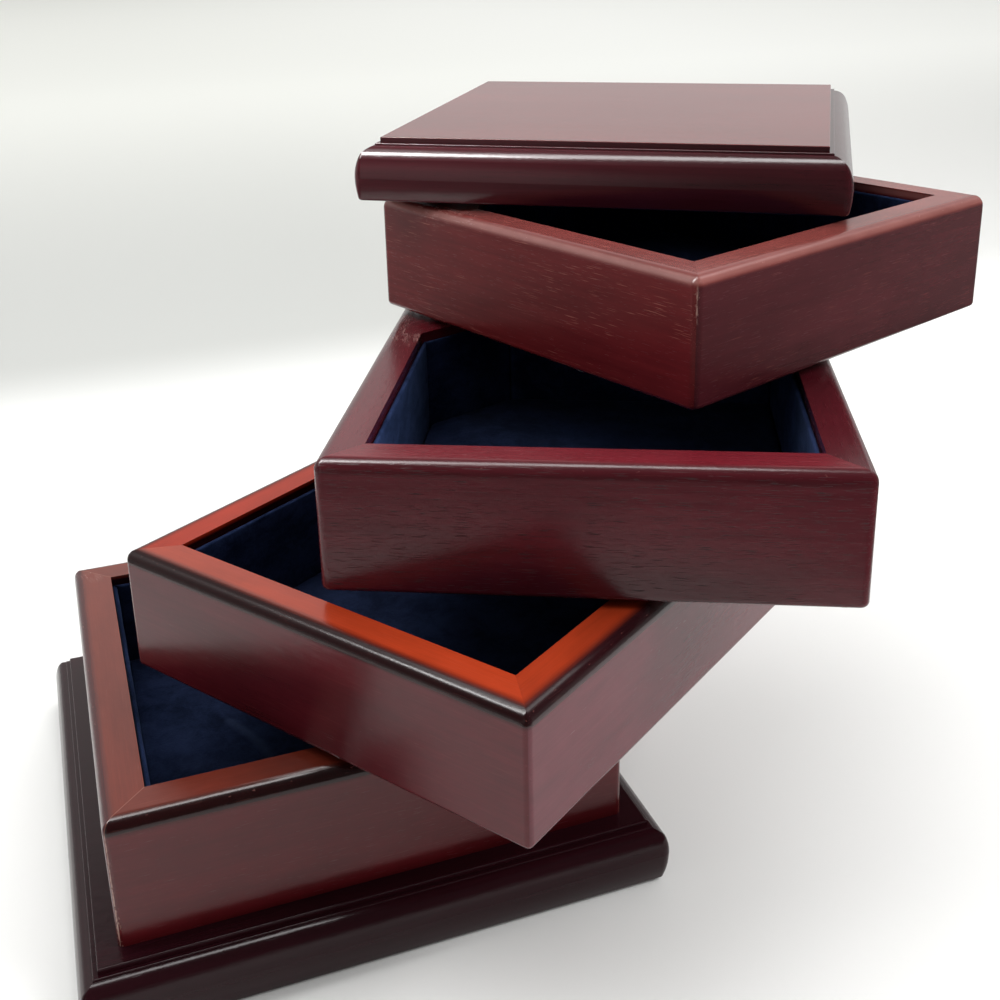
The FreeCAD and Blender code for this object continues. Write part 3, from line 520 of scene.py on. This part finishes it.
def wall_panels(k, material):
    """Velvet covered boards standing against the four rails and the pivot block, with a soft rolled top edge."""
    low, high, back, front = 4.15, 37.45, 0.35, 1.75
    r = (front - back) / 2
    section = [(back, low), (back, 20.0), (back, high - r)]
    for i in range(1, 8):
        a = math.pi - math.pi * i / 8
        section.append(((back + front) / 2 + r * math.cos(a), high - r + r * math.sin(a)))
    inner_from = len(section)
    steps = 14
    for i in range(steps + 1):
        section.append((front, (high - r) + (low - high + r) * i / steps))
    verts, faces = [], []
    m = len(section)
    for e in range(5):
        rings = []
        (ax, ay), (bx, by) = pentagon(front)[e], pentagon(front)[(e + 1) % 5]
        length = math.hypot(bx - ax, by - ay)
        ends = [0.1, 0.22, 0.4, 0.7, 1.2, 2.0]
        inner = [2.0 + (length - 4.0) * i / 34 for i in range(1, 34)]
        stations = ends + inner + [length - d for d in reversed(ends)]
        for s in stations:
            ring = []
            near = min(s, length - s)
            tuck = 0.55 * max(0.0, 1 - near / 1.0) ** 2
            for j, (t, z) in enumerate(section):
                f = s / length
                (px, py), (qx, qy) = pentagon(t)[e], pentagon(t)[(e + 1) % 5]
                x, y = px + (qx - px) * f, py + (qy - py) * f
                soft = 0.0
                if j >= inner_from - 4:
                    soft = 0.10 * wave(k, x, y, z, 14.0, e) + 0.05 * wave(k, x, y, z, 5.0, e + 4.0)
                    soft += 0.12 * math.sin(math.pi * min(1.0, max(0.0, (z - low) / (high - low))))
                    soft -= tuck
                top = 0.10 * wave(k, x, y, 0, 18.0, e + 9.0) if z > high - 2 * r else 0.0
                # move square to the wall, inwards
                nx, ny = -(qy - py), qx - px
                d = math.hypot(nx, ny)
                ring.append(len(verts))
                verts.append(to_world(k, x + nx / d * soft, y + ny / d * soft, z + top))
            rings.append(ring)
        for u, v in zip(rings, rings[1:]):
            for j in range(m):
                n = (j + 1) % m
                faces.append((u[j], v[j], v[n], u[n]))
        faces.append(tuple(rings[0]))
        faces.append(tuple(reversed(rings[-1])))
    o = new_piece(f"tray_{k}_velvet_walls", verts, faces, k, material, f"tray_{k}_wall_lining")
    return o


def crease(x, y):
    """Height of a pressed fold across the floor of the lowest tray."""
    best = 1e9
    for (ax, ay), (bx, by) in zip(CREASE, CREASE[1:]):
        dx, dy = bx - ax, by - ay
        f = min(1.0, max(0.0, ((x - ax) * dx + (y - ay) * dy) / (dx * dx + dy * dy)))
        best = min(best, math.hypot(x - ax - dx * f, y - ay - dy * f))
    return 0.5 * math.exp(-(best / 0.9) ** 2) - 0.12 * math.exp(-((best - 2.2) / 1.2) ** 2)


def floor_pad(k, material):
    """Velvet covered pad on the tray's floor: flat under, soft rolled edge, slightly crowned."""
    first = 2.15
    profile = [(0.5, 4.06), (0.08, 4.5), (0.0, 5.1), (0.08, 5.7), (0.3, 6.2), (0.7, 6.6), (1.3, 6.82), (2.2, 6.93)]
    d = 3.4
    while d < 40:
        profile.append((d, 6.95 + 0.25 * min(1.0, d / 25)))
        d += 1.6
    counts = [46, 36, 16, 36, 46]
    verts, faces, rings = [], [], []

    def lift(x, y, z):
        h = 0.10 * wave(k, x, y, 0, 22.0) + 0.06 * wave(k, x, y, 0, 8.0, 3.0) + 0.02 * wave(k, x, y, 0, 3.0, 5.0)
        if k == 1:
            h += crease(x, y)
        return z + h * min(1.0, max(0.0, (z - 5.5) / 1.3))

    for inset, z in profile:
        corners = pentagon(first + inset)
        ring = []
        # the corners of the pad are slightly rounded
        for e in range(5):
            (ax, ay), (bx, by) = corners[e], corners[(e + 1) % 5]
            for i in range(counts[e]):
                f = i / counts[e]
                x, y = ax + (bx - ax) * f, ay + (by - ay) * f
                near = min(math.hypot(x - ax, y - ay), math.hypot(x - bx, y - by))
                if near < 2.0:
                    cx, cy = (ax, ay) if math.hypot(x - ax, y - ay) < math.hypot(x - bx, y - by) else (bx, by)
                    mx, my = 72.0 - cx, 72.0 - cy
                    w = 0.35 * (1 - near / 2.0) ** 2
                    x, y = x + mx / math.hypot(mx, my) * w, y + my / math.hypot(mx, my) * w
                ring.append(len(verts))
                verts.append(to_world(k, x, y, lift(x, y, z)))
        rings.append(ring)
    centre = (72.0, 72.0)
    corners = pentagon(first + profile[-1][0])
    last = []
    for e in range(5):
        (ax, ay), (bx, by) = corners[e], corners[(e + 1) % 5]
        for i in range(counts[e]):
            f = i / counts[e]
            last.append((ax + (bx - ax) * f, ay + (by - ay) * f))
    for s in (0.93, 0.86, 0.79, 0.72, 0.65, 0.58, 0.51, 0.44, 0.37, 0.30, 0.23, 0.16, 0.09):
        ring = []
        for x, y in last:
            x, y = centre[0] + (x - centre[0]) * s, centre[1] + (y - centre[1]) * s
            ring.append(len(verts))
            verts.append(to_world(k, x, y, lift(x, y, 7.2)))
        rings.append(ring)
    for u, v in zip(rings, rings[1:]):
        n = len(u)
        for j in range(n):
            faces.append((u[j], u[(j + 1) % n], v[(j + 1) % n], v[j]))
    faces.append(tuple(rings[-1]))
    faces.append(tuple(reversed(rings[0])))
    o = new_piece(f"tray_{k}_velvet_floor", verts, faces, k, material, f"tray_{k}_floor_pad")
    return o


for k in (1, 2, 3, 4):
    wall_panels(k, velvet(f"navy_velvet_walls_{k}", k, PILE_TONE_AND_PAINTED_LIGHT[k][0]))
    floor_pad(k, velvet(f"navy_velvet_floor_{k}", k + 4, PILE_TONE_AND_PAINTED_LIGHT[k][1], k == 1))

# ---------------------------------------------------------------- floor, light, camera
def ring_floor(name, inner, outer, material):
    """Flat pale floor round the object, as a disc or as a ring about it."""
    mesh = bpy.data.meshes.new(name)
    n = 96
    at = [(math.cos(2 * math.pi * i / n), math.sin(2 * math.pi * i / n)) for i in range(n)]
    verts = [(0.05 + outer * c, 0.03 + outer * s, 0.0) for c, s in at]
    if inner:
        verts += [(0.05 + inner * c, 0.03 + inner * s, 0.0) for c, s in at]
        faces = [(i, (i + 1) % n, n + (i + 1) % n, n + i) for i in range(n)]
    else:
        faces = [tuple(range(n))]
    mesh.from_pydata(verts, [], faces)
    o = bpy.data.objects.new(name, mesh)
    bpy.context.scene.collection.objects.link(o)
    mesh.materials.append(material)
    return o


paper = floor_paper("pale_floor")
ring_floor("floor", 0.0, 0.35, paper)
ring_floor("floor_far", 0.35, 14.0, paper).visible_glossy = False


def area(name, at, aim, size, power, color=(1, 1, 1)):
    light = bpy.data.lights.new(name, "AREA")
    light.shape = "RECTANGLE"
    light.size, light.size_y = size
    light.energy = power
    light.color = color
    o = bpy.data.objects.new(name, light)
    o.location = at
    o.rotation_euler = (Vector(aim) - Vector(at)).to_track_quat("-Z", "Y").to_euler()
    o.visible_camera = False
    bpy.context.scene.collection.objects.link(o)
    return o


area("key_above", (-0.10, 0.38, 1.15), (-0.10, 0.38, 0.0), (1.6, 0.9), 12.5).visible_glossy = False
area("fill_right", (1.0, -0.62, 0.95), (0.25, -0.1, 0.0), (0.8, 0.8), 13.8).visible_glossy = False
area("back_wash", (0.6, 3.0, 2.5), (0.6, 3.0, 0.0), (4.0, 3.0), 25.0).visible_glossy = False
area("lamp_over", (0.0, 0.0, 1.25), (0.0, 0.0, 0.0), (0.6, 0.3), 6.2).visible_diffuse = False
area("lamp_front_left", (-0.50, 0.0, 1.25), (-0.50, 0.0, 0.0), (0.4, 0.3), 18.0).visible_diffuse = False
area("lamp_left", (-0.33, 0.40, 1.20), (-0.33, 0.40, 0.0), (0.45, 0.3), 1.0).visible_diffuse = False
area("lamp_far_left", (-0.80, 0.10, 1.00), (0.0, 0.0, 0.1), (0.22, 0.22), 5.0).visible_diffuse = False
area("lamp_right", (0.95, 0.05, 1.15), (0.1, 0.0, 0.15), (0.5, 0.5), 2.0).visible_diffuse = False

# a room that is pale behind the object and dim on the camera's side
world = bpy.data.worlds.new("studio")
bpy.context.scene.world = world
world.use_nodes = True
wt = world.node_tree
wt.nodes.clear()


def w_math(op, a, b):
    n = wt.nodes.new("ShaderNodeMath")
    n.operation = op
    for i, v in enumerate((a, b)):
        if isinstance(v, bpy.types.NodeSocket):
            wt.links.new(v, n.inputs[i])
        else:
            n.inputs[i].default_value = v
    return n.outputs[0]


def w_ramp(value, low, high, start, end):
    n = wt.nodes.new("ShaderNodeMapRange")
    n.interpolation_type = "SMOOTHSTEP"
    wt.links.new(value, n.inputs[0])
    for i, v in enumerate((low, high, start, end)):
        n.inputs[i + 1].default_value = v
    return n.outputs[0]


w_tc = wt.nodes.new("ShaderNodeTexCoord")
w_sep = wt.nodes.new("ShaderNodeSeparateXYZ")
wt.links.new(w_tc.outputs["Generated"], w_sep.inputs[0])
w_x, w_y, w_z = w_sep.outputs
soft = w_ramp(w_y, -0.8, 0.3, 0.15, 1.02)
shine = w_math("MULTIPLY", w_ramp(w_y, -0.1, 0.5, 0.0, 1.0), w_ramp(w_z, 0.25, 0.5, 0.62, 0.98))
shine = w_math("MULTIPLY", shine, w_ramp(w_z, 0.58, 0.72, 1.0, 0.12))
shine = w_math("ADD", w_math("MULTIPLY", shine, w_ramp(w_z, -0.08, 0.02, 0.0, 1.0)), 0.1)
# the pale floor further off, seen in the faces that look to the left and to the right
side = w_math("MULTIPLY", w_ramp(w_x, -0.75, -0.60, 0.5, 0.0), w_ramp(w_x, -0.865, -0.82, 0.1, 1.0))
side = w_math("MULTIPLY", side, w_math("MULTIPLY", w_ramp(w_y, 0.1, 0.35, 0.0, 1.0), w_math("MULTIPLY", w_ramp(w_z, -0.30, -0.235, 0.0, 1.0), w_ramp(w_z, 0.0, 0.15, 1.0, 0.0))))
left = w_math("MULTIPLY", w_ramp(w_x, -0.75, -0.60, 0.5, 0.0), w_ramp(w_y, -0.5, -0.3, 1.0, 0.0))
left = w_math("MULTIPLY", left, w_math("MULTIPLY", w_ramp(w_z, -0.28, 0.05, 0.1, 1.0), w_ramp(w_z, 0.3, 0.6, 1.0, 0.0)))
low = w_math("MULTIPLY", w_ramp(w_x, -0.93, -0.88, 0.45, 0.0), w_math("MULTIPLY", w_ramp(w_y, -0.15, -0.05, 0.0, 1.0), w_ramp(w_y, 0.25, 0.4, 1.0, 0.0)))
low = w_math("MULTIPLY", low, w_math("MULTIPLY", w_ramp(w_z, -0.36, -0.27, 0.0, 1.0), w_ramp(w_z, -0.12, 0.0, 1.0, 0.0)))
far_right = w_math("MULTIPLY", w_ramp(w_x, 0.9, 0.96, 0.0, 0.2), w_ramp(w_z, 0.0, 0.15, 1.0, 0.0))
behind = w_math("MULTIPLY", w_ramp(w_y, 0.55, 0.72, 0.0, 0.72), w_ramp(w_z, -0.08, 0.02, 1.0, 0.0))
shine = w_math("ADD", w_math("ADD", shine, w_math("ADD", side, low)), w_math("ADD", left, w_math("ADD", far_right, behind)))
w_lp = wt.nodes.new("ShaderNodeLightPath")


def w_pick(fac, a, b):
    n = wt.nodes.new("ShaderNodeMix")
    n.data_type = "FLOAT"
    wt.links.new(fac, n.inputs[0])
    for i, v in ((2, a), (3, b)):
        if isinstance(v, bpy.types.NodeSocket):
            wt.links.new(v, n.inputs[i])
        else:
            n.inputs[i].default_value = v
    return n.outputs[0]


level = w_pick(w_lp.outputs["Is Glossy Ray"], soft, shine)
level = w_pick(w_lp.outputs["Is Camera Ray"], level, 0.86)
world.cycles.sampling_method = "NONE"
w_bg = wt.nodes.new("ShaderNodeBackground")
wt.links.new(level, w_bg.inputs["Strength"])
w_bg.inputs["Color"].default_value = (1.0, 1.0, 0.985, 1.0)
w_out = wt.nodes.new("ShaderNodeOutputWorld")
wt.links.new(w_bg.outputs[0], w_out.inputs["Surface"])

cam = bpy.data.cameras.new("camera")
cam.sensor_width = 36.0
cam.lens = 1.282432 * 36.0
cam.shift_x = 0.0
cam.shift_y = -0.15
cam.clip_start = 0.01
cam.clip_end = 60.0
cam_o = bpy.data.objects.new("camera", cam)
bpy.context.scene.collection.objects.link(cam_o)
el, az, roll = math.radians(18.940), math.radians(19.705), math.radians(-1.252)
fwd = Vector((math.sin(az) * math.cos(el), math.cos(az) * math.cos(el), -math.sin(el)))
right = Vector((math.cos(az), -math.sin(az), 0.0))
up = right.cross(fwd)
ax = right * math.cos(roll) + up * math.sin(roll)
ay = up * math.cos(roll) - right * math.sin(roll)
cam_o.matrix_world = Matrix((
    (ax.x, ay.x, -fwd.x, -0.068572),
    (ax.y, ay.y, -fwd.y, -0.376723),
    (ax.z, ay.z, -fwd.z, 0.288051),
    (0, 0, 0, 1),
))
bpy.context.scene.camera = cam_o
bpy.context.scene.view_settings.view_transform = "Standard"
bpy.context.scene.view_settings.look = "None"
